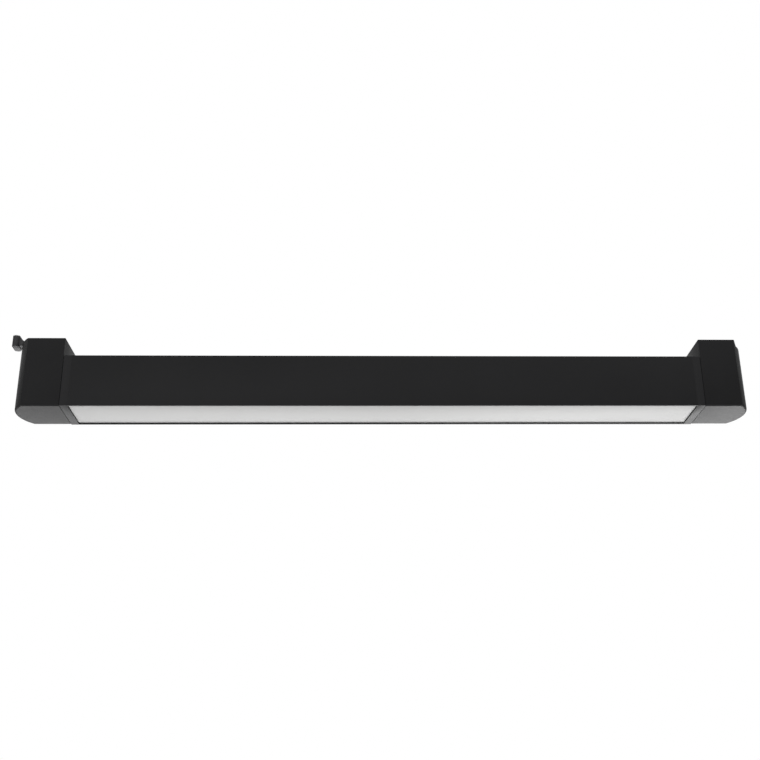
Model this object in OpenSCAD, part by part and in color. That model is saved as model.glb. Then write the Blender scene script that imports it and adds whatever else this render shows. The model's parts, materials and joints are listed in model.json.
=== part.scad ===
// Track-mounted linear light: a slim LED bar that tilts between two taller end blocks.
// Each end block carries a low track adapter on its top face; the left one has a sliding latch.
// Frame: X along the bar, Y from front to back, Z up.
// The origin is midway between the blocks, at mid-depth, in the plane of their top faces.

/* [Overall] */
// Length over the rounded ends of the two end blocks
overall_l = 606.6; // [480:0.2:1230]
// Length of one end block, from its inner face to the crown of its rounded end
block_l = 39.8; // [38:0.1:60]
// Depth of an end block, front to back
block_d = 44.8; // [40:0.1:56]
// Height of an end block
block_h = 59.5; // [56:0.5:90]
// How far the rounded end of a block stands out past its corners
block_bulge = 9.5; // [6:0.1:16]
// Wall of an end block
block_wall = 2.2; // [1.6:0.1:3.2]
// Rounding of a block's lower edges
block_edge_r = 2; // [0.4:0.1:2.2]
// Drop of the ledge over the right block's rounded end
ledge_drop = 5; // [3:0.1:8]

/* [Light bar] */
// Depth of the bar, front to back
bar_d = 44.8; // [40:0.1:56]
// Height of the bar
bar_h = 44; // [42:0.5:54]
// Wall of the bar extrusion
bar_wall = 1.6; // [1.2:0.1:2.4]
// Thickness of an end cap
cap_t = 6.3; // [5:0.1:10]
// Gap between an end cap and its end block
seam = 0.4; // [0.3:0.1:1]
// Depth of the light chamber under the board shelf
chamber_h = 18; // [14:0.5:18]
// Thickness of the board shelf
shelf_t = 2; // [1.5:0.1:3]
// Thickness of the diffuser
diffuser_t = 2; // [1.5:0.1:3]
// How far the diffuser's face sits inside the bar's lower edges
diffuser_inset = 1; // [0:0.1:1.5]

/* [Lighting] */
// Width of the board that carries the light emitters
board_w = 24; // [14:1:28]
// Thickness of that board
board_t = 1.6; // [1:0.1:2]
// Distance from one emitter to the next
led_pitch = 12.5; // [8:0.5:25]
// Length of the driver case
driver_l = 170; // [100:5:190]

/* [Pivot] */
// Outer radius of a hollow pivot stud
stud_r = 7; // [5.5:0.1:8.5]
// Radius of the hole for the leads through a stud
stud_bore_r = 3.5; // [2.5:0.1:4]
// Running clearance between a stud and its bushing
run_gap = 0.05; // [0.02:0.01:0.1]
// Tilt to each side, in degrees
tilt_max = 90; // [30:5:100]

/* [Track adapter] */
// Half of the width of an adapter
adapter_hw = 7.5; // [7:0.1:9]
// Height of an adapter's base
adapter_h = 5.7; // [5.4:0.1:7]
// Travel of the latch slide
latch_travel = 5; // [4:0.5:5]
// How far each locking lug moves out over that travel
lug_throw = 2; // [1.5:0.1:2.2]
// Width of the finger tab, front to back
tab_w = 12; // [10:0.5:16]
// Top of the finger tab above the block
tab_top = 10.2; // [8:0.1:12]
// How far a snap catch stands out past the adapter's side
catch_out = 1.8; // [1:0.1:1.8]

/* [Hidden] */
$fn = 64;
eps = 0.01;
// Gap that keeps sliding pieces apart
slide_gap = 0.3;
// Gap round a piece that only sits in its place
seat_gap = 0.1;
// Radial gap of a screw, pin or stud in its own hole
fit_gap = 0.05;

// Places along X
inner_x = overall_l / 2 - block_l;            // inner face of an end block
cap_x = inner_x - seam;                       // outer face of an end cap
bar_x = cap_x - cap_t;                        // end of the extrusion
// Heights
axis_z = -block_h + bar_h / 2;                // tilt axis, with the bar's underside level with the blocks
bar_low = -bar_h / 2;                         // the bar's parts are drawn round the tilt axis
shelf_low = bar_low + chamber_h;
shelf_top = shelf_low + shelf_t;

// End block plan
half_d = block_d / 2;
corner_x = block_l - block_bulge;
end_r = (half_d * half_d + block_bulge * block_bulge) / (2 * block_bulge);
plate_t = 2;
ledge_x0 = corner_x + 0.8;
ledge_run = 1.4;
ledge_plate_x = ledge_x0 - block_wall - seat_gap;
lug_drop = 14;
lug_r = 3.2;
lug_at = [[6.5, 14], [6.5, -14], [24.5, 11.5], [24.5, -11.5]];
m3_r = 1.5;
m3_hole_r = 1.6;
m3_head_r = 2.9;
m3_l = 10;
cap_screw_r = 1.3;

// Pivot stack, measured from a block's inner face
boss_t = 4;
bush_wall = 1.5;
bush_flange_t = 1;
bush_flange_r = stud_r + 3.5;
washer_t = 1.2;
wave_t = 0.8;
stop_t = 1.2;
stop_pin_r = 1.5;
nut_t = 5;
nut_af = 2 * stud_r + 5;
stud_flange_r = stud_r + 3;
stud_flange_t = 2;
friction_x = boss_t + bush_flange_t + seat_gap;
wave_x = friction_x + washer_t + seat_gap;
stop_x = wave_x + wave_t + seat_gap;
nut_x = stop_x + stop_t + seat_gap;
stud_end = nut_x + nut_t + 0.5;
stop_ring_r = nut_af / 2 / cos(30) + stop_pin_r + 0.5;
stop_pin_x0 = 1;
stop_tab_w = 4;
stop_pin_angle = tilt_max + asin((stop_tab_w / 2 + stop_pin_r + slide_gap) / stop_ring_r);

// Extrusion section
in_y = bar_d / 2 - bar_wall;
port_r = 2.9;
port_hole_r = cap_screw_r + fit_gap;
port_y = in_y - port_r + 0.3;
port_low = shelf_top + port_r - 0.1;
port_high = bar_h / 2 - bar_wall - port_r + 0.3;
port_at = [for (y = [-port_y, port_y], z = [port_low, port_high]) [y, z]];
groove_z = bar_low + 5;
rib = 1;
leg_t = 1.5;
leg_y = in_y - rib - 0.15;

// Board and emitters
board_l = 2 * bar_x - 12;
led_count = floor((board_l - 20) / led_pitch) + 1;
board_screw_n = 5;
board_screw_pitch = (board_l - 60) / (board_screw_n - 1);
board_screw_x = [for (i = [0 : board_screw_n - 1])
    (i - (board_screw_n - 1) / 2) * board_screw_pitch + led_pitch / 2];
screw_r = 1.1;

// Driver
driver_x = -bar_x + 52;
driver_w = 2 * (port_y - port_r) - 1;
driver_h = bar_h / 2 - bar_wall - shelf_top - 0.6;
driver_wall = 1.2;
lead_r = 0.9;
lead_y = 1.3;

circuit_z = 4.2;
circuit_t = 1.6;
outlet_z = 2;
lid_t = 1.2;
lead_hole_x = driver_x + driver_l + 9;

// Terminal block, plug and socket in the left block, measured from its inner face
lead_in_x = 10;
lead_in_y = 3;
terminal_x = [18, 26];
terminal_hw = 7.5;
terminal_h = 10;
terminal_top = -plate_t - 2.2;
drop_x = 23.5;
socket_x0 = stud_end + 5.5;
socket_l = 7;
plug_l = 6;
plug_r = stud_bore_r - 0.4;

// Adapter, measured from a block's inner face
base_x0 = 5;
live_x1 = 33.5;
dead_x1 = 28.2;
floor_t = 0.8;
side_t = 0.9;
strip_z0 = floor_t + slide_gap;
strip_t = 2.5;
strip_hw = adapter_hw - side_t - slide_gap;
strip_x0 = 15.3;
lug_z0 = strip_z0 + strip_t + slide_gap;
lug_t = 0.7;
contact_t = adapter_h - lug_z0 - lug_t - slide_gap;
lug_x = 17.5;
lug_len = 12;
lug_pin_r = 0.9;
lug_pin_y = 1.8;
boss_in_x = 7.7;
live_boss_x = 27.6;
dead_boss_x = 24.8;
mouth_l = 3.3;
boss_r = 2.2;
cover_t = 0.6;
ridge_hw = 3;
ridge_t = 1.6;
tab_x0 = block_l + 2.8;
tab_t = 6.4;
tab_z0 = slide_gap;
tab_edge_r = 0.8;
ramp_x0 = live_x1 + latch_travel + 0.5;
ramp_top = 5.3;
ramp_hw = (tab_w - tab_t) / 2 + 1.5;
catch_x = 15.5;
catch_body_w = 8;
guide_x = catch_body_w / 2 + slide_gap + 1;
catch_nose_w = 5;
catch_body_y = 2.6;

// ---------- placing ----------

// Draws children at one end, where local X runs outwards from the block's inner face
module at_left() { mirror([1, 0, 0]) translate([inner_x, 0, 0]) children(); }
module at_right() { translate([inner_x, 0, 0]) children(); }
// Draws children round the tilt axis
module on_axis() { translate([0, 0, axis_z]) children(); }
// Turns a piece drawn along Z so that it lies along X
module along_x() { rotate([0, 90, 0]) children(); }
module along_y() { rotate([-90, 0, 0]) children(); }

// ---------- shared shapes ----------

module ring(r_out, r_in, t) {
    difference() {
        cylinder(r = r_out, h = t);
        translate([0, 0, -1]) cylinder(r = r_in, h = t + 2);
    }
}

// Plan of an end block: straight sides and one shallow round end
module block_plan(inset = 0, inner_inset = 0) {
    centre_x = block_l - end_r;
    depth = 2 * (half_d - inset);
    intersection() {
        translate([inner_inset, -depth / 2]) square([block_l, depth]);
        union() {
            translate([centre_x, 0]) circle(r = end_r - inset, $fn = 160);
            if (centre_x > inner_inset)
                translate([inner_inset, -depth / 2]) square([centre_x - inner_inset, depth]);
        }
    }
}

// Plan of the lugs for the top plate's screws, each joined to its side wall
module lug_plan() {
    intersection() {
        block_plan(block_wall / 2, block_wall / 2);
        for (p = lug_at) {
            translate(p) circle(r = lug_r);
            translate([p[0] - lug_r, p[1] > 0 ? p[1] : -half_d]) square([2 * lug_r, half_d - abs(p[1])]);
        }
    }
}

// Rectangle from x = 0 to x = w, below y = 0, with its lower right corner rounded
module rounded_half(w, h, r) {
    translate([0, -h + r]) square([w, h - r]);
    translate([0, -h]) square([w - r, r + eps]);
    translate([w - r, -h + r]) circle(r = r, $fn = 32);
}

// Outside of an end block: a straight rounded section, met by a round end with the same lower rounding
module block_outer() {
    intersection() {
        rotate([90, 0, 90]) linear_extrude(block_l) {
            rounded_half(half_d, block_h, block_edge_r);
            mirror([1, 0]) rounded_half(half_d, block_h, block_edge_r);
        }
        union() {
            translate([block_l - end_r, 0, 0])
                rotate_extrude($fn = 160) rounded_half(end_r, block_h, block_edge_r);
            if (block_l > end_r) translate([0, -half_d, -block_h]) cube([block_l - end_r, block_d, block_h]);
        }
    }
}

// Countersunk screw with its head's top at z = 0
module flat_screw(r, head_r, l) {
    translate([0, 0, -l]) cylinder(r = r, h = l);
    translate([0, 0, -(head_r - r)]) cylinder(r1 = r, r2 = head_r, h = head_r - r);
}

// Hole for such a screw, with its head's top at z = 0
module flat_screw_hole(r, hole_r, head_r, t) {
    translate([0, 0, -t - 1]) cylinder(r = hole_r, h = t + 2);
    translate([0, 0, -(head_r - r)]) cylinder(r1 = r + fit_gap, r2 = head_r + fit_gap, h = head_r - r + eps);
    cylinder(r = head_r + fit_gap, h = 1);
}

// Pan-head screw with the underside of its head at z = 0 and its shank going up
module pan_screw(r, head_r, head_t, l) {
    cylinder(r = r, h = l);
    translate([0, 0, -head_t]) cylinder(r = head_r, h = head_t);
}

// Slot with round ends, from p to q
module slot_plan(p, q, r) {
    hull() for (end = [p, q]) translate(end) circle(r = r, $fn = 32);
}

// Round wire through a list of points
module wire(points, r) {
    for (i = [0 : len(points) - 2]) {
        v = points[i + 1] - points[i];
        translate(points[i])
            rotate([0, acos(v[2] / norm(v)), atan2(v[1], v[0])])
                cylinder(r = r, h = norm(v), $fn = 24);
    }
    for (i = [1 : len(points) - 2]) translate(points[i]) sphere(r = r, $fn = 24);
}

// Compression spring along Z, swept as one closed tube
function coil_point(t, turns, r, h) = [r * cos(360 * turns * t), r * sin(360 * turns * t), h * t];
function coil_ring(t, turns, r, h, wire_r, sides) =
    let (c = coil_point(t, turns, r, h), a = 360 * turns * t)
    [for (k = [0 : sides - 1])
        let (b = 360 * k / sides)
        [c[0] + wire_r * cos(b) * cos(a), c[1] + wire_r * cos(b) * sin(a), c[2] + wire_r * sin(b)]];
module coil(turns, r, h, wire_r, sides = 8, steps = 16) {
    n = ceil(turns * steps);
    points = [for (i = [0 : n]) each coil_ring(i / n, turns, r, h, wire_r, sides)];
    walls = [for (i = [0 : n - 1], k = [0 : sides - 1])
        [i * sides + k, (i + 1) * sides + k, (i + 1) * sides + (k + 1) % sides, i * sides + (k + 1) % sides]];
    ends = [[for (k = [0 : sides - 1]) k], [for (k = [sides - 1 : -1 : 0]) n * sides + k]];
    polyhedron(points = points, faces = concat(walls, ends));
}

// ---------- end blocks ----------

// Room over the ledge of the right block
module ledge_room() {
    far = block_l + 10;
    translate([0, block_d, 0]) rotate([90, 0, 0]) linear_extrude(2 * block_d)
        polygon([[ledge_x0, 10], [ledge_x0, 0], [ledge_x0 + ledge_run, -ledge_drop],
            [far, -ledge_drop], [far, 10]]);
}

module housing(ledge = false) {
    bore_r = stud_r + run_gap + bush_wall + seat_gap;
    color("#2b2c2d") difference() {
        union() {
            difference() {
                block_outer();
                if (ledge) ledge_room();
                difference() {
                    translate([0, 0, -block_h + block_wall])
                        linear_extrude(block_h) block_plan(block_wall, block_wall);
                    if (ledge) translate([-block_wall, 0, -block_wall]) ledge_room();
                }
            }
            // thicker wall round the bushing and the stop pins
            translate([block_wall - eps, 0, axis_z]) along_x()
                cylinder(r = stop_ring_r + stop_pin_r + 1, h = boss_t - block_wall + eps);
            translate([0, 0, -plate_t - lug_drop]) linear_extrude(lug_drop) lug_plan();
        }
        translate([-1, 0, axis_z]) along_x() cylinder(r = bore_r, h = boss_t + 2);
        for (p = lug_at)
            translate([p[0], p[1], -plate_t - m3_l - 1]) cylinder(r = m3_r + fit_gap, h = m3_l + 2);
    }
}
module left_housing() { at_left() housing(); }
module right_housing() {
    at_right() color("#2b2c2d") difference() {
        housing(true);
        stop_pin_places() translate([0, 0, stop_pin_x0 - boss_t - seat_gap])
            cylinder(r = stop_pin_r + fit_gap, h = boss_t);
    }
}

// Cover plate of a block, cut off straight at end_x, with holes for the adapter's screws and leads
module top_plate(end_x, boss_x) {
    inset = block_wall + seat_gap;
    color("#3a3b3c") difference() {
        translate([0, 0, -plate_t]) linear_extrude(plate_t) intersection() {
            block_plan(inset, inset);
            translate([0, -block_d]) square([end_x, 2 * block_d]);
        }
        for (p = lug_at) translate([p[0], p[1], 0]) flat_screw_hole(m3_r, m3_hole_r, m3_head_r, plate_t);
        for (x = [boss_in_x, boss_x])
            translate([x, 0, -plate_t - 1]) cylinder(r = screw_r + 0.15, h = plate_t + 2);
        for (s = [-1, 1])
            translate([lead_in_x, s * lead_in_y, -plate_t - 1]) cylinder(r = lead_r + 0.3, h = plate_t + 2);
    }
}
module left_top_plate() { at_left() top_plate(block_l, live_boss_x); }
module right_top_plate() { at_right() top_plate(ledge_plate_x, dead_boss_x); }

module plate_screw_set() {
    color("#8a8c8f") for (p = lug_at) translate([p[0], p[1], 0]) flat_screw(m3_r, m3_head_r, m3_l);
}
module plate_screws() {
    at_left() plate_screw_set();
    at_right() plate_screw_set();
}

// ---------- track adapters ----------

// Plan of an adapter that ends at x1, with its corners cut so that it enters the track easily
module adapter_plan(x1, inset = 0) {
    nose = 2;
    hw = adapter_hw - inset;
    x0 = base_x0 + inset;
    xe = x1 - inset;
    polygon([[x0, -hw + nose], [x0 + nose, -hw], [xe - nose, -hw], [xe, -hw + nose],
        [xe, hw - nose], [xe - nose, hw], [x0 + nose, hw], [x0, hw - nose]]);
}

// Base tray with a floor, closed walls and a screw boss near each end
module adapter_base(x1, boss_x) {
    difference() {
        union() {
            difference() {
                linear_extrude(adapter_h) adapter_plan(x1);
                translate([0, 0, floor_t]) linear_extrude(adapter_h) adapter_plan(x1, side_t);
            }
            for (x = [boss_in_x, boss_x]) translate([x, 0, eps]) cylinder(r = boss_r, h = adapter_h - eps);
        }
        for (x = [boss_in_x, boss_x]) translate([x, 0, -1]) cylinder(r = screw_r + fit_gap, h = 5.5);
        for (s = [-1, 1])
            translate([lead_in_x, s * lead_in_y, -1]) cylinder(r = lead_r + 0.3, h = floor_t + 2);
    }
}

module live_adapter_base() {
    at_left() color("#222324") difference() {
        adapter_base(live_x1, live_boss_x);
        // mouth for the latch slide
        translate([live_x1 - mouth_l, -strip_hw - slide_gap, floor_t])
            cube([mouth_l + 1, 2 * (strip_hw + slide_gap), strip_t + 2 * slide_gap]);
        // windows for the lugs
        translate([lug_x - lug_len / 2 - slide_gap, -adapter_hw - 1, lug_z0 - slide_gap])
            cube([lug_len + 2 * slide_gap, 2 * adapter_hw + 2, adapter_h]);
    }
}

module dead_adapter_base() {
    at_right() color("#222324") difference() {
        union() {
            adapter_base(dead_x1, dead_boss_x);
            // guides beside the snap catches
            for (s = [-1, 1])
                translate([catch_x + s * guide_x - 1, -adapter_hw + side_t / 2, eps])
                    cube([2, 2 * adapter_hw - side_t, adapter_h - eps]);
        }
        translate([catch_x - catch_nose_w / 2 - slide_gap, -adapter_hw - 1, floor_t])
            cube([catch_nose_w + 2 * slide_gap, 2 * adapter_hw + 2, adapter_h]);
    }
}

module adapter_cover(x1) {
    translate([0, 0, adapter_h]) difference() {
        union() {
            linear_extrude(cover_t) adapter_plan(x1, side_t / 2);
            translate([base_x0 + 3, -ridge_hw, 0]) cube([x1 - base_x0 - 6, 2 * ridge_hw, cover_t + ridge_t]);
        }
        // vents across the ridge
        for (x = [base_x0 + 6 : 4 : x1 - 7])
            translate([x, -ridge_hw - 1, cover_t + 0.4]) cube([1.6, 2 * ridge_hw + 2, ridge_t]);
    }
}
module live_adapter_cover() { at_left() color("#2a2b2c") adapter_cover(live_x1); }
module dead_adapter_cover() { at_right() color("#2a2b2c") adapter_cover(dead_x1); }

module adapter_screw_set(boss_x) {
    color("#8a8c8f") for (x = [boss_in_x, boss_x])
        translate([x, 0, -plate_t]) pan_screw(screw_r, 2.3, 1.6, plate_t + 4);
}
module adapter_screws() {
    at_left() adapter_screw_set(live_boss_x);
    at_right() adapter_screw_set(dead_boss_x);
}

// Plan of the finger tab, round at both ends
module tab_plan() {
    hull() for (s = [-1, 1])
        translate([tab_x0 + tab_t / 2, s * (tab_w - tab_t) / 2]) circle(r = tab_t / 2, $fn = 48);
}

// Side view of the tab, with its edges rounded
module tab_side() {
    r = tab_edge_r;
    hull() for (x = [tab_x0 + r, tab_x0 + tab_t - r], z = [tab_z0 + r, tab_top - r])
        translate([x, z]) circle(r = r, $fn = 32);
}

// Side view of the ramp that joins the slide's strip to the tab
module ramp_side() {
    polygon([[ramp_x0, strip_z0], [tab_x0 + tab_t / 2, strip_z0], [tab_x0 + tab_t / 2, tab_top - 1],
        [tab_x0 + 0.6, tab_top - 1], [ramp_x0, ramp_top]]);
}

module latch_slide() {
    at_left() color("#303132") difference() {
        union() {
            translate([strip_x0, -strip_hw, strip_z0])
                cube([ramp_x0 + 0.5 - strip_x0, 2 * strip_hw, strip_t]);
            translate([0, ramp_hw, 0]) rotate([90, 0, 0]) linear_extrude(2 * ramp_hw) ramp_side();
            intersection() {
                linear_extrude(tab_top + 1) tab_plan();
                translate([0, tab_w, 0]) rotate([90, 0, 0]) linear_extrude(2 * tab_w) tab_side();
            }
        }
        translate([0, 0, strip_z0 - 1]) linear_extrude(strip_t + 2) {
            // slot round the outer boss, which also stops the slide at both ends
            slot_plan([live_boss_x, 0], [live_boss_x + latch_travel, 0], boss_r + slide_gap);
            // two sloping slots that drive the lugs
            for (s = [-1, 1])
                slot_plan([lug_x, s * lug_pin_y], [lug_x + latch_travel, s * (lug_pin_y + lug_throw)],
                    lug_pin_r + 0.2);
        }
        // grip grooves across the top of the tab
        for (i = [0 : 2])
            translate([tab_x0 + 1.5 + 1.5 * i, -tab_w, tab_top - 0.6]) cube([0.6, 2 * tab_w, 1]);
    }
}

// Lug on the side given by s
module lug(s) {
    color("#9a9c9f") {
        translate([lug_x - lug_len / 2, s > 0 ? 0.4 : -adapter_hw + 0.2, lug_z0])
            cube([lug_len, adapter_hw - 0.6, lug_t]);
        translate([lug_x, s * lug_pin_y, strip_z0 + 0.2])
            cylinder(r = lug_pin_r, h = lug_z0 - strip_z0 - 0.2 + eps);
    }
}
module front_lug() { at_left() lug(-1); }
module back_lug() { at_left() lug(1); }

module contact(s) {
    from = 3;
    to = adapter_hw - 0.1;
    color("#b8863b") translate([lug_x - 4, s > 0 ? from : -to, lug_z0 + lug_t])
        difference() {
            cube([8, to - from, contact_t]);
            translate([4, s > 0 ? 1.2 : to - from - 1.2, -1]) cylinder(r = 0.6, h = contact_t + 2, $fn = 24);
        }
}
module front_contact() { at_left() contact(-1); }
module back_contact() { at_left() contact(1); }

// Snap catch: a body that stays inside and a rounded nose
module catch(s) {
    nose_y = adapter_hw + catch_out;
    nose_r = 3.4;
    color("#c9c4b4") scale([1, s, 1]) translate([0, 0, floor_t + slide_gap]) {
        h = adapter_h - floor_t - 2 * slide_gap;
        translate([catch_x - catch_body_w / 2, catch_body_y, 0])
            cube([catch_body_w, adapter_hw - side_t - slide_gap - catch_body_y, h]);
        intersection() {
            translate([catch_x - catch_nose_w / 2, catch_body_y, 0])
                cube([catch_nose_w, nose_y - catch_body_y, h]);
            translate([catch_x, nose_y - nose_r, 0]) union() {
                cylinder(r = nose_r, h = h);
                translate([-catch_nose_w, -nose_r - 5, 0]) cube([2 * catch_nose_w, nose_r + 5, h]);
            }
        }
    }
}
module front_catch() { at_right() catch(-1); }
module back_catch() { at_right() catch(1); }

module catch_spring() {
    wire_r = 0.2;
    l = 2 * (catch_body_y - wire_r - 0.05);
    at_right() color("#a9abae")
        translate([catch_x, -l / 2, (floor_t + adapter_h) / 2]) along_y() coil(4, 1.3, l, wire_r);
}

// ---------- pivots ----------

module bushing() {
    color("#d8d5c8") translate([0, 0, axis_z]) along_x() {
        ring(stud_r + run_gap + bush_wall, stud_r + run_gap, boss_t + eps);
        translate([0, 0, boss_t]) ring(bush_flange_r, stud_r + run_gap, bush_flange_t);
    }
}
module left_bushing() { at_left() bushing(); }
module right_bushing() { at_right() bushing(); }

module friction_washer() {
    color("#7a4b32") translate([friction_x, 0, axis_z]) along_x()
        ring(bush_flange_r, stud_r + 0.3, washer_t);
}
module left_friction_washer() { at_left() friction_washer(); }
module right_friction_washer() { at_right() friction_washer(); }

module wave_washer() {
    color("#9a9c9f") translate([wave_x, 0, axis_z]) along_x()
        ring(bush_flange_r - 0.5, stud_r + 0.15, wave_t);
}
module left_wave_washer() { at_left() wave_washer(); }
module right_wave_washer() { at_right() wave_washer(); }

module lock_nut() {
    color("#8a8c8f") translate([nut_x, 0, axis_z]) along_x() difference() {
        cylinder(r = nut_af / 2 / cos(30), h = nut_t, $fn = 6);
        translate([0, 0, -1]) cylinder(r = stud_r + fit_gap, h = nut_t + 2);
    }
}
module left_lock_nut() { at_left() lock_nut(); }
module right_lock_nut() { at_right() lock_nut(); }

module pivot_stud() {
    flange_x = -seam - cap_t;
    color("#a5a7aa") translate([0, 0, axis_z]) along_x() difference() {
        union() {
            translate([0, 0, flange_x]) cylinder(r = stud_r, h = stud_end - flange_x);
            translate([0, 0, flange_x]) cylinder(r = stud_flange_r, h = stud_flange_t);
        }
        translate([0, 0, flange_x - 1]) cylinder(r = stud_bore_r, h = stud_end - flange_x + 2);
    }
}
module left_pivot_stud() { at_left() pivot_stud(); }
module right_pivot_stud() { at_right() pivot_stud(); }

// Washer with one tab that meets the stop pins at full tilt
module stop_washer() {
    at_right() color("#8a8c8f") translate([stop_x, 0, axis_z]) difference() {
        union() {
            along_x() cylinder(r = stud_r + 2.5, h = stop_t);
            translate([0, -stop_tab_w / 2, 0]) cube([stop_t, stop_tab_w, stop_ring_r + stop_pin_r]);
        }
        translate([-1, 0, 0]) along_x() cylinder(r = stud_r + fit_gap, h = stop_t + 2);
    }
}

module stop_pin_places() {
    for (s = [-1, 1])
        translate([boss_t, 0, axis_z]) rotate([s * stop_pin_angle, 0, 0])
            translate([0, 0, stop_ring_r]) along_x() children();
}
module stop_pins() {
    at_right() color("#8a8c8f") stop_pin_places()
        translate([0, 0, stop_pin_x0 - boss_t]) cylinder(r = stop_pin_r, h = stop_x + stop_t - stop_pin_x0);
}

// ---------- wiring in the left block ----------

module terminal_block() {
    at_left() color("#e6e2d6") difference() {
        translate([terminal_x[0], -terminal_hw, terminal_top - terminal_h])
            cube([terminal_x[1] - terminal_x[0], 2 * terminal_hw, terminal_h]);
        // wire entries and screw wells
        for (s = [-1, 1]) {
            translate([terminal_x[0] - 1, s * lead_in_y, terminal_top - terminal_h / 2]) along_x()
                cylinder(r = lead_r + 0.4, h = 5);
            translate([drop_x, s * lead_y, terminal_top - terminal_h - 1])
                cylinder(r = lead_r + 0.2, h = 5);
        }
    }
}

module supply_leads() {
    at_left() color("#c0392b") for (s = [-1, 1])
        wire([[lead_in_x, s * lead_in_y, floor_t], [lead_in_x, s * lead_in_y, terminal_top - terminal_h / 2],
            [terminal_x[0] + 3, s * lead_in_y, terminal_top - terminal_h / 2]], lead_r);
}

module drop_leads() {
    bend_x = socket_x0 + socket_l + 4;
    bend_z = axis_z + 13;
    at_left() color("#c0392b") for (s = [-1, 1])
        wire([[drop_x, s * lead_y, terminal_top - terminal_h + 3], [drop_x, s * lead_y, bend_z],
            [bend_x, s * lead_y, bend_z], [bend_x, s * lead_y, axis_z],
            [socket_x0 + socket_l - 3, s * lead_y, axis_z]], lead_r);
}

module lead_socket() {
    at_left() color("#e6e2d6") translate([socket_x0, 0, axis_z]) along_x() difference() {
        cylinder(r = plug_r + 0.6, h = socket_l);
        for (s = [-1, 1]) translate([0, s * lead_y, socket_l - 4]) cylinder(r = lead_r + 0.1, h = 5);
    }
}

module lead_plug() {
    at_left() color("#e6e2d6") translate([socket_x0 - seat_gap - plug_l, 0, axis_z]) along_x() difference() {
        cylinder(r = plug_r, h = plug_l);
        for (s = [-1, 1]) translate([0, s * lead_y, -1]) cylinder(r = lead_r + 0.1, h = 4.2);
    }
}

// ---------- light bar ----------

// Section of the extrusion, drawn with the front to the left and Z upwards
module bar_section() {
    difference() {
        union() {
            difference() {
                square([bar_d, bar_h], center = true);
                // light chamber, open at the bottom
                translate([-in_y, bar_low - 1]) square([2 * in_y, chamber_h + 1]);
                // driver chamber
                translate([-in_y, shelf_top]) square([2 * in_y, bar_h / 2 - bar_wall - shelf_top]);
            }
            for (p = port_at) translate(p) circle(r = port_r);
            // ribs that hold the diffuser
            for (s = [-1, 1])
                translate([s > 0 ? in_y - rib : -in_y - eps, groove_z]) square([rib + eps, rib]);
        }
        for (p = port_at) translate(p) circle(r = port_hole_r);
    }
}

// Stands a Y-Z section up along X, from -l/2 to l/2
module along_bar(l) {
    translate([-l / 2, 0, 0]) rotate([90, 0, 90]) linear_extrude(l) children();
}

module bar_extrusion() {
    on_axis() color("#2b2c2d") difference() {
        along_bar(2 * bar_x) bar_section();
        for (x = board_screw_x)
            translate([x, 0, shelf_low - 1]) cylinder(r = screw_r + fit_gap, h = shelf_t + 2);
        translate([lead_hole_x, 0, shelf_low - 1]) cylinder(r = 3, h = shelf_t + 2);
    }
}

module end_cap() {
    outer = -seam;
    color("#2f3031") translate([0, 0, axis_z]) difference() {
        translate([outer - cap_t, -bar_d / 2, bar_low]) cube([cap_t, bar_d, bar_h]);
        translate([outer - cap_t - 1, 0, 0]) along_x() cylinder(r = stud_r + fit_gap, h = cap_t + 2);
        translate([outer - cap_t - 1, 0, 0]) along_x()
            cylinder(r = stud_flange_r + seat_gap, h = stud_flange_t + 1 + fit_gap);
        for (p = port_at)
            translate([outer - seat_gap, p[0], p[1]]) along_x()
                flat_screw_hole(cap_screw_r, m3_hole_r, m3_head_r, cap_t);
    }
}
module left_end_cap() { at_left() end_cap(); }
module right_end_cap() { at_right() end_cap(); }

module end_cap_screw_set() {
    for (p = port_at)
        translate([-seam - seat_gap, p[0], axis_z + p[1]]) along_x()
            flat_screw(cap_screw_r, m3_head_r, cap_t + 10);
}
module end_cap_screws() {
    color("#55575a") {
        at_left() end_cap_screw_set();
        at_right() end_cap_screw_set();
    }
}

// Opal cover with two snap legs
module diffuser_section() {
    plate_hw = in_y - 0.15;
    face = bar_low + diffuser_inset;
    translate([-plate_hw, face]) square([2 * plate_hw, diffuser_t]);
    for (s = [-1, 1]) scale([s, 1]) {
        translate([leg_y - leg_t, face]) square([leg_t, groove_z + rib + 1.5 - face]);
        polygon([[leg_y - eps, groove_z + rib + 0.1], [leg_y + 0.8, groove_z + rib + 0.1],
            [leg_y, groove_z + rib + 1.5], [leg_y - eps, groove_z + rib + 1.5]]);
    }
}
module diffuser() { on_axis() color("#eceae4") along_bar(2 * bar_x - 0.4) diffuser_section(); }

module led_board() {
    on_axis() color("#f2f2ee") difference() {
        translate([-board_l / 2, -board_w / 2, shelf_low - board_t]) cube([board_l, board_w, board_t]);
        for (x = board_screw_x)
            translate([x, 0, shelf_low - board_t - 1]) cylinder(r = screw_r + 0.3, h = board_t + 2);
        translate([lead_hole_x, 0, shelf_low - board_t - 1]) cylinder(r = 3, h = board_t + 2);
    }
}

module led_emitters() {
    led = [3.5, 2.8, 0.8];
    on_axis() color("#f4e58a") for (i = [0 : led_count - 1], s = [-1, 1])
        translate([(i - (led_count - 1) / 2) * led_pitch - led[0] / 2, s * 7 - led[1] / 2,
            shelf_low - board_t - led[2]]) cube(led);
}

module board_screws() {
    on_axis() color("#8a8c8f") for (x = board_screw_x)
        translate([x, 0, shelf_low - board_t]) pan_screw(screw_r, 2.3, 1.5, board_t + shelf_t - 0.2);
}

// ---------- driver ----------

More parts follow.
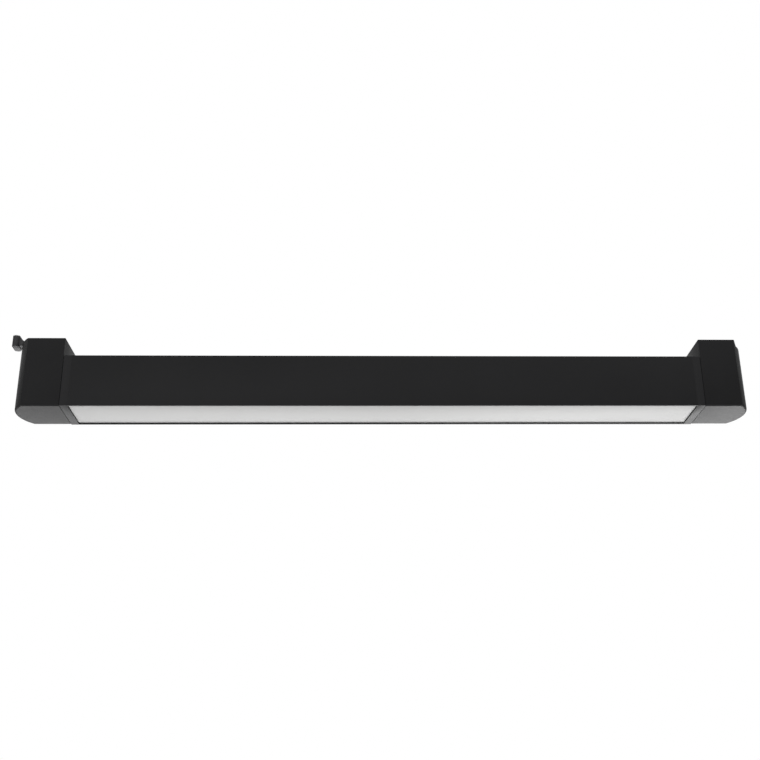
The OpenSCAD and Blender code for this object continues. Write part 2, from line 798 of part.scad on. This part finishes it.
module driver_tray() {
    on_axis() color("#d9d9d6") difference() {
        union() {
            difference() {
                translate([driver_x, -driver_w / 2, shelf_top]) cube([driver_l, driver_w, driver_h - lid_t]);
                translate([driver_x + driver_wall, -driver_w / 2 + driver_wall, shelf_top + driver_wall])
                    cube([driver_l - 2 * driver_wall, driver_w - 2 * driver_wall, driver_h]);
            }
            // posts under the circuit board
            for (x = [driver_x + 14, driver_x + driver_l - 14], s = [-1, 1])
                translate([x, s * (driver_w / 2 - 5), shelf_top + eps])
                    cylinder(r = 2, h = circuit_z - shelf_top - eps);
        }
        for (s = [-1, 1]) {
            translate([driver_x - 1, s * lead_y, 0]) along_x() cylinder(r = lead_r + 0.1, h = 4);
            translate([driver_x + driver_l - 3, s * lead_y, outlet_z]) along_x()
                cylinder(r = lead_r + 0.1, h = 4);
        }
    }
}

module driver_lid() {
    on_axis() color("#e4e4e1") difference() {
        translate([driver_x, -driver_w / 2, shelf_top + driver_h - lid_t]) cube([driver_l, driver_w, lid_t]);
        for (i = [0 : 7])
            translate([driver_x + driver_l / 2 - 28 + 8 * i, -8, shelf_top + driver_h - lid_t - 1])
                cube([2, 16, lid_t + 2]);
    }
}

module driver_board() {
    on_axis() color("#2f6b3c") translate([driver_x + 6, -driver_w / 2 + 2, circuit_z])
        cube([driver_l - 12, driver_w - 4, circuit_t]);
}
module transformer() {
    x = driver_x + 0.45 * driver_l;
    on_axis() color("#caa54a") translate([x, 0, circuit_z + circuit_t]) difference() {
        translate([-10, -9, 0]) cube([20, 18, 11]);
        for (s = [-1, 1]) translate([-6, s * 6.5 - 1, -1]) cube([12, 2, 13]);
    }
}
module capacitors() {
    on_axis() color("#33415c") for (x = [0.2, 0.75])
        translate([driver_x + driver_l * x, 0, circuit_z + circuit_t]) cylinder(r = 5, h = 11.5);
}

module bar_leads() {
    plug_end = socket_x0 - seat_gap - plug_l;
    start = -(inner_x + plug_end + 3);
    on_axis() color("#c0392b") for (s = [-1, 1])
        wire([[start, s * lead_y, 0], [driver_x + 2.5, s * lead_y, 0]], lead_r);
}

module board_leads() {
    x1 = driver_x + driver_l;
    on_axis() color("#c0392b") for (s = [-1, 1])
        wire([[x1 - 2.5, s * lead_y, outlet_z], [lead_hole_x, s * lead_y, outlet_z],
            [lead_hole_x, s * lead_y, shelf_low - board_t + 0.2]], lead_r);
}

left_housing();
right_housing();
left_top_plate();
right_top_plate();
plate_screws();
live_adapter_base();
live_adapter_cover();
dead_adapter_base();
dead_adapter_cover();
adapter_screws();
latch_slide();
front_lug();
back_lug();
front_contact();
back_contact();
front_catch();
back_catch();
catch_spring();
left_bushing();
right_bushing();
left_friction_washer();
right_friction_washer();
stop_pins();
terminal_block();
supply_leads();
drop_leads();
lead_socket();
bar_extrusion();
left_end_cap();
right_end_cap();
end_cap_screws();
diffuser();
led_board();
led_emitters();
board_screws();
driver_tray();
driver_lid();
driver_board();
transformer();
capacitors();
bar_leads();
lead_plug();
board_leads();
left_pivot_stud();
right_pivot_stud();
left_wave_washer();
right_wave_washer();
stop_washer();
left_lock_nut();
right_lock_nut();
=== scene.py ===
"""Looks of the linear track light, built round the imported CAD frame."""
import json
import math

import bmesh
import bpy
from mathutils import Matrix, Vector


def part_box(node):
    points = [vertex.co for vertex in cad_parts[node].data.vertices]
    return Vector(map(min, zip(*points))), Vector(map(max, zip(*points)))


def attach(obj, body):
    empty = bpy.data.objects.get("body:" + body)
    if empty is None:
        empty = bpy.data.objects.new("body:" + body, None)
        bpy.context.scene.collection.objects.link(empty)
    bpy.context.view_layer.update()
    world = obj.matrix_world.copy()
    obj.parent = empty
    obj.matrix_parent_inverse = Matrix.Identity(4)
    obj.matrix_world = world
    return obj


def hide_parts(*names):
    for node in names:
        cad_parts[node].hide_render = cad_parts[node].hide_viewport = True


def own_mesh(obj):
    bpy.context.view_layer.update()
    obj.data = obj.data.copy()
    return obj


MM = 0.001

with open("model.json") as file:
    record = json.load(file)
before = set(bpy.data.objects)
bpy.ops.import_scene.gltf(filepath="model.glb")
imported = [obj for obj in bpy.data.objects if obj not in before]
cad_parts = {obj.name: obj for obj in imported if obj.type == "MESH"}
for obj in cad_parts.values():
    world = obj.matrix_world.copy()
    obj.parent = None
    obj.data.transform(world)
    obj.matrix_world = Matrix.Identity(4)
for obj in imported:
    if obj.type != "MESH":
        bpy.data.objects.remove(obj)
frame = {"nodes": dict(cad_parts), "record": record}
nodes = frame["nodes"]
body_of = {n: b for b, names in frame["record"]["behaviour"]["bodies"].items() for n in names}
slot_of = {s["node"]: s["material_slot"] for s in frame["record"]["subparts"]}
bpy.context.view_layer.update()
scene = bpy.context.scene


# ---------- camera ----------

CAMERA_PLACE = (-0.0260, -0.8757, -0.3892)
CAMERA_PITCH = 22.4
CAMERA_YAW = 2.71
CAMERA_ROLL = -0.98
CAMERA_SENSOR = 36
CAMERA_LENS = 53.28
CAMERA_SHIFT = -0.031
CAMERA_CLIP = (0.01, 50)


def make_camera():
    """Camera below and in front of the light, looking up at it with a slight roll."""
    pitch, yaw, roll = (math.radians(angle) for angle in (CAMERA_PITCH, CAMERA_YAW, CAMERA_ROLL))
    forward = Vector((math.sin(yaw) * math.cos(pitch), math.cos(yaw) * math.cos(pitch), math.sin(pitch)))
    level = Vector((math.cos(yaw), -math.sin(yaw), 0))
    above = level.cross(forward)
    right = level * math.cos(roll) + above * math.sin(roll)
    up = above * math.cos(roll) - level * math.sin(roll)
    data = bpy.data.cameras.new("camera")
    data.sensor_width = CAMERA_SENSOR
    data.lens = CAMERA_LENS
    data.shift_x = CAMERA_SHIFT
    data.clip_start, data.clip_end = CAMERA_CLIP
    camera = bpy.data.objects.new("camera", data)
    turn = Matrix((right, up, -forward)).transposed().to_4x4()
    camera.matrix_world = Matrix.Translation(CAMERA_PLACE) @ turn
    scene.collection.objects.link(camera)
    scene.camera = camera


# ---------- node helpers ----------

NOISE_ROUGHNESS = 0.55
NOISE_LOW = 0.3
NOISE_HIGH = 0.7
EDGE_START = 0.53
EDGE_FULL = 0.62
# Places of the colour sockets on a Mix node
MIX_COLOURS = (6, 7)
MIX_RESULT = 2


def scaled(colour, factor, lift=0.0):
    """The colour times factor, plus lift, and at most one."""
    return tuple(min(1, c * factor + lift) for c in colour)


class Maker:
    """Small helper that adds shader nodes to one material and links them."""

    def __init__(self, name):
        self.material = bpy.data.materials.new(name)
        self.material.use_nodes = True
        self.tree = self.material.node_tree
        self.shader = self.tree.nodes["Principled BSDF"]
        self.place = self.add("ShaderNodeTexCoord").outputs["Object"]

    def add(self, kind, **values):
        node = self.tree.nodes.new(kind)
        for key, value in values.items():
            setattr(node, key, value)
        return node

    def link(self, source, target):
        self.tree.links.new(source, target)

    def feed(self, source, target):
        """Links source to target, or sets target where source is a number or a colour."""
        if isinstance(source, tuple):
            target.default_value = (*source, 1)
        elif isinstance(source, float):
            target.default_value = source
        else:
            self.link(source, target)

    def noise(self, scale, detail, stretch=(1, 1, 1)):
        mapping = self.add("ShaderNodeMapping")
        mapping.inputs["Scale"].default_value = stretch
        self.link(self.place, mapping.inputs["Vector"])
        node = self.add("ShaderNodeTexNoise")
        node.inputs["Scale"].default_value = scale
        node.inputs["Detail"].default_value = detail
        node.inputs["Roughness"].default_value = NOISE_ROUGHNESS
        self.link(mapping.outputs["Vector"], node.inputs["Vector"])
        return node.outputs["Fac"]

    def bands(self, scale, direction, distortion=0.0):
        node = self.add("ShaderNodeTexWave", wave_type="BANDS", bands_direction=direction)
        node.inputs["Scale"].default_value = scale
        node.inputs["Distortion"].default_value = distortion
        self.link(self.place, node.inputs["Vector"])
        return node.outputs["Fac"]

    def ramp(self, source, low, high, start=NOISE_LOW, end=NOISE_HIGH):
        """Maps source from low at start to high at end; both are grey levels or RGB colours."""
        node = self.add("ShaderNodeValToRGB")
        for element, place, value in zip(node.color_ramp.elements, (start, end), (low, high)):
            element.position = place
            colour = value if isinstance(value, tuple) else (value, value, value)
            element.color = (*colour, 1)
        self.link(source, node.inputs["Fac"])
        return node.outputs["Color"]

    def mix(self, a, b, factor):
        node = self.add("ShaderNodeMix", data_type="RGBA")
        for index, value in zip(MIX_COLOURS, (a, b)):
            self.feed(value, node.inputs[index])
        self.feed(factor, node.inputs[0])
        return node.outputs[MIX_RESULT]

    def times(self, source, factor):
        node = self.add("ShaderNodeMath", operation="MULTIPLY")
        self.link(source, node.inputs[0])
        node.inputs[1].default_value = factor
        return node.outputs[0]

    def worn_edges(self, share):
        """Nought on flat faces, rising to share on sharp outward edges."""
        pointy = self.add("ShaderNodeNewGeometry").outputs["Pointiness"]
        return self.times(self.ramp(pointy, 0.0, 1.0, EDGE_START, EDGE_FULL), share)

    def bump(self, height, strength, distance):
        """Raises the surface by height, over a distance in millimetres."""
        node = self.add("ShaderNodeBump")
        node.inputs["Strength"].default_value = strength
        node.inputs["Distance"].default_value = distance * MM
        self.link(height, node.inputs["Height"])
        self.link(node.outputs["Normal"], self.shader.inputs["Normal"])

    def set(self, **values):
        for key, value in values.items():
            self.shader.inputs[key.replace("_", " ")].default_value = value

    def colour(self, source):
        self.link(source, self.shader.inputs["Base Color"])

    def roughness(self, source):
        self.link(source, self.shader.inputs["Roughness"])


# ---------- materials ----------

def powder_coat(name, base, lift, rough, specular):
    """Matte black powder coat: fine orange peel, faint cloudiness and slightly polished edges."""
    m = Maker(name)
    cloud = m.noise(scale=14, detail=4)
    grain = m.noise(scale=900, detail=2)
    peel = m.noise(scale=2200, detail=2)
    specks = m.ramp(m.noise(scale=2600, detail=1), 0.0, 1.0, start=0.66, end=0.74)
    colour = m.ramp(cloud, scaled(base, 0.8), scaled(base, lift))
    colour = m.mix(colour, scaled(base, 2.4), m.times(specks, 0.5))
    m.colour(m.mix(colour, scaled(base, 2.2), m.worn_edges(0.5)))
    m.roughness(m.ramp(m.mix(grain, cloud, 0.4), rough - 0.05, rough + 0.06))
    m.bump(m.mix(grain, peel, 0.4), strength=0.35, distance=0.06)
    m.set(Specular_IOR_Level=specular)
    return m.material


def moulded(name, base, rough, grain=1200, depth=0.04):
    """Moulded plastic with a fine spark texture."""
    m = Maker(name)
    cloud = m.noise(scale=30, detail=3)
    texture = m.noise(scale=grain, detail=2)
    colour = m.ramp(cloud, scaled(base, 0.86), base)
    m.colour(m.mix(colour, scaled(base, 1.5, lift=0.01), m.worn_edges(0.4)))
    m.roughness(m.ramp(texture, rough - 0.06, rough + 0.07))
    m.bump(texture, strength=0.4, distance=depth)
    m.set(Specular_IOR_Level=0.4)
    return m.material


def plated(name, base, rough, stretch=(1, 1, 1), coat=0.0):
    """Plated or turned metal with fine tool marks and slight staining."""
    m = Maker(name)
    stain = m.noise(scale=60, detail=4)
    marks = m.noise(scale=1500, detail=2, stretch=stretch)
    colour = m.ramp(stain, scaled(base, 0.72), base, end=0.65)
    m.colour(m.mix(colour, scaled(base, 1.3), m.worn_edges(0.6)))
    m.roughness(m.ramp(marks, rough - 0.08, rough + 0.1))
    m.bump(marks, strength=0.3, distance=0.03)
    m.set(Metallic=1.0, Coat_Weight=coat)
    return m.material


def opal(name, low, high):
    """Opal acrylic: white and cloudy inside, with a satin extruded skin."""
    m = Maker(name)
    cloud = m.noise(scale=9, detail=4, stretch=(0.25, 1, 1))
    lines = m.noise(scale=420, detail=2, stretch=(0.02, 1, 1))
    haze = m.noise(scale=1600, detail=2)
    m.colour(m.ramp(cloud, low, high))
    m.roughness(m.ramp(m.noise(scale=700, detail=2), 0.48, 0.58))
    m.bump(m.mix(lines, haze, 0.5), strength=0.2, distance=0.03)
    m.set(Specular_IOR_Level=0.1, Subsurface_Weight=0.35, Subsurface_Scale=4 * MM)
    m.set(Subsurface_Radius=(1, 1, 0.95))
    return m.material


def solder_mask(name, base, rough=0.32):
    """Glossy lacquer over woven board, with the weave showing faintly."""
    m = Maker(name)
    m.colour(m.ramp(m.noise(scale=40, detail=3), scaled(base, 0.85), base))
    m.roughness(m.ramp(m.noise(scale=500, detail=2), rough - 0.05, rough + 0.08))
    m.bump(m.bands(scale=520, direction="DIAGONAL"), strength=0.12, distance=0.03)
    return m.material


def phosphor(name, low, high):
    """Grainy yellow resin over the emitters."""
    m = Maker(name)
    m.colour(m.ramp(m.noise(scale=1800, detail=3), low, high))
    m.roughness(m.ramp(m.noise(scale=900, detail=2), 0.3, 0.45))
    m.bump(m.noise(scale=2200, detail=2), strength=0.2, distance=0.02)
    return m.material


def wound(name, low, high):
    """Taped winding with rows of wire showing through."""
    m = Maker(name)
    rows = m.bands(scale=300, direction="Z", distortion=1.2)
    m.colour(m.ramp(rows, low, high, start=0.2, end=0.8))
    m.roughness(m.ramp(m.noise(scale=300, detail=2), 0.35, 0.5))
    m.bump(rows, strength=0.4, distance=0.1)
    return m.material


BLACK = (0.0112, 0.0112, 0.0117)
RECIPES = {
    "black_casting": (powder_coat, dict(base=BLACK, lift=1.15, rough=0.50, specular=0.09)),
    "black_extrusion": (powder_coat, dict(base=BLACK, lift=1.1, rough=0.50, specular=0.09)),
    "black_nylon": (moulded, dict(base=(0.014, 0.014, 0.015), rough=0.55)),
    "opal_acrylic": (opal, dict(low=(0.40, 0.40, 0.396), high=(0.43, 0.43, 0.426))),
    "zinc_steel": (plated, dict(base=(0.62, 0.64, 0.67), rough=0.34)),
    "stud_steel": (plated, dict(base=(0.56, 0.57, 0.59), rough=0.28, stretch=(6, 0.3, 0.3))),
    "contact_brass": (plated, dict(base=(0.83, 0.60, 0.24), rough=0.25, coat=0.1)),
    "natural_nylon": (moulded, dict(base=(0.74, 0.71, 0.62), rough=0.42)),
    "friction_fibre": (moulded, dict(base=(0.26, 0.11, 0.06), rough=0.75, grain=700, depth=0.1)),
    "white_solder_mask": (solder_mask, dict(base=(0.86, 0.86, 0.83))),
    "led_phosphor": (phosphor, dict(low=(0.78, 0.60, 0.13), high=(0.93, 0.80, 0.30))),
    "driver_white": (moulded, dict(base=(0.72, 0.72, 0.70), rough=0.45)),
    "green_board": (solder_mask, dict(base=(0.03, 0.20, 0.07))),
    "wound_core": (wound, dict(low=(0.45, 0.30, 0.06), high=(0.80, 0.60, 0.18))),
    "capacitor_sleeve": (moulded, dict(base=(0.03, 0.05, 0.16), rough=0.3)),
    "lead_insulation": (moulded, dict(base=(0.42, 0.03, 0.025), rough=0.45)),
}
MATERIALS = {name: recipe(name, **values) for name, (recipe, values) in RECIPES.items()}


# ---------- meshes ----------

# Width of the rounded edges of each piece, in millimetres
SOFTENED = {
    "left_housing": 0.15, "right_housing": 0.15,
    "left_end_cap": 0.35, "right_end_cap": 0.35,
    "latch_slide": 0.25,
    "left_top_plate": 0.2, "right_top_plate": 0.2,
    "live_adapter_base": 0.15, "dead_adapter_base": 0.15,
    "live_adapter_cover": 0.15, "dead_adapter_cover": 0.15,
    "bar_extrusion": 0.3, "diffuser": 0.25,
}
WELD_DISTANCE = 0.001 * MM
FLAT_ANGLE = math.radians(1)
EDGE_ANGLE = math.radians(30)
SMOOTH_ANGLE = math.radians(35)
EDGE_SEGMENTS = 2
SPRING = "catch_spring"


def linked(name, mesh):
    piece = bpy.data.objects.new(name, mesh)
    scene.collection.objects.link(piece)
    return piece


def dress(piece, slot):
    piece.data.materials.clear()
    piece.data.materials.append(MATERIALS[slot])


def stand_in(piece, node):
    """Shows piece in place of a CAD node, on the same body and with the same finish."""
    for polygon in piece.data.polygons:
        polygon.use_smooth = True
    piece.data.set_sharp_from_angle(angle=SMOOTH_ANGLE)
    dress(piece, slot_of[node])
    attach(piece, body_of[node])
    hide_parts(node)


def apply_modifiers(piece):
    graph = bpy.context.evaluated_depsgraph_get()
    mesh = bpy.data.meshes.new_from_object(piece.evaluated_get(graph))
    piece.modifiers.clear()
    piece.data = mesh


def softened(node, width):
    """Copy of a CAD node with its flat faces merged and its sharp edges rounded off."""
    mesh = nodes[node].data.copy()
    bm = bmesh.new()
    bm.from_mesh(mesh)
    bmesh.ops.remove_doubles(bm, verts=bm.verts, dist=WELD_DISTANCE)
    bmesh.ops.dissolve_limit(bm, angle_limit=FLAT_ANGLE, verts=bm.verts, edges=bm.edges)
    bm.to_mesh(mesh)
    bm.free()
    piece = linked(node + "_soft", mesh)
    bevel = piece.modifiers.new("edges", "BEVEL")
    bevel.width = width
    bevel.segments = EDGE_SEGMENTS
    bevel.limit_method = "ANGLE"
    bevel.angle_limit = EDGE_ANGLE
    apply_modifiers(piece)
    stand_in(piece, node)


def spring_halves():
    """The catch spring cut into two halves, front and back, both on the spring's own body."""
    low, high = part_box(SPRING)
    middle = [(a + b) / 2 for a, b in zip(low, high)]
    for side, outward, joint in (("front", -1, "front_snap_in"), ("back", 1, "back_snap_in")):
        half = nodes[SPRING].data.copy()
        bm = bmesh.new()
        bm.from_mesh(half)
        bmesh.ops.bisect_plane(bm, geom=bm.verts[:] + bm.edges[:] + bm.faces[:], plane_co=middle,
                               plane_no=(0, outward, 0), clear_inner=True)
        bmesh.ops.holes_fill(bm, edges=[e for e in bm.edges if e.is_boundary])
        bm.to_mesh(half)
        bm.free()
        piece = linked("spring_half_" + side, half)
        stand_in(piece, SPRING)
        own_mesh(piece)


def build_object():
    for node, width in SOFTENED.items():
        softened(node, width * MM)
    spring_halves()
    for node, piece in nodes.items():
        if node not in SOFTENED and node != SPRING:
            dress(piece, slot_of[node])


# ---------- stage ----------

FLOOR_SIZE = 40
FLOOR_HEIGHT = -1.7
FLOOR_ROUGHNESS = 0.8
# The surround is white, and greyer towards both ends of the light
SIDE_START = 0.5
SIDE_END = 0.95
SIDE_GREY = 0.35
# Each lamp's place, the point it faces, its width and height in metres, and its power in watts
LAMPS = {
    "below_right": dict(place=(0.9, 2.0, -0.93), target=(0.3, 0, 0), size=(1.4, 0.8), power=34),
    "below_left": dict(place=(-0.7, 2.0, -0.93), target=(-0.3, 0, 0), size=(1.4, 0.8), power=18),
    "front_left": dict(place=(-0.9, -1.6, 0.3), target=(-0.3, 0, 0), size=(0.8, 0.8), power=3),
}


def make_floor():
    bpy.ops.mesh.primitive_plane_add(size=FLOOR_SIZE, location=(0, 0, FLOOR_HEIGHT))
    floor = bpy.context.object
    floor.name = "floor"
    m = Maker("pale_floor")
    m.colour(m.ramp(m.noise(scale=3, detail=3), 0.82, 0.84))
    m.set(Roughness=FLOOR_ROUGHNESS)
    floor.data.materials.append(m.material)


def make_lamp(name, place, target, size, power):
    data = bpy.data.lights.new(name, "AREA")
    data.shape = "RECTANGLE"
    data.size, data.size_y = size
    data.energy = power
    lamp = linked(name, data)
    lamp.location = place
    lamp.rotation_euler = (Vector(target) - Vector(place)).to_track_quat("-Z", "Y").to_euler()
    lamp.visible_camera = False


def make_surround():
    world = bpy.data.worlds.new("studio")
    world.use_nodes = True
    tree = world.node_tree
    direction = tree.nodes.new("ShaderNodeTexCoord").outputs["Generated"]
    parts = tree.nodes.new("ShaderNodeSeparateXYZ")
    tree.links.new(direction, parts.inputs["Vector"])
    sideways = tree.nodes.new("ShaderNodeMath")
    sideways.operation = "ABSOLUTE"
    tree.links.new(parts.outputs["X"], sideways.inputs[0])
    fade = tree.nodes.new("ShaderNodeValToRGB")
    fade.color_ramp.interpolation = "EASE"
    for element, place, grey in zip(fade.color_ramp.elements, (SIDE_START, SIDE_END), (1, SIDE_GREY)):
        element.position = place
        element.color = (grey, grey, grey, 1)
    tree.links.new(sideways.outputs[0], fade.inputs["Fac"])
    tree.links.new(fade.outputs["Color"], tree.nodes["Background"].inputs["Color"])
    scene.world = world
    scene.view_settings.view_transform = "Standard"
    scene.view_settings.look = "None"


make_camera()
build_object()
make_floor()
make_surround()
for lamp_name, values in LAMPS.items():
    make_lamp(lamp_name, **values)
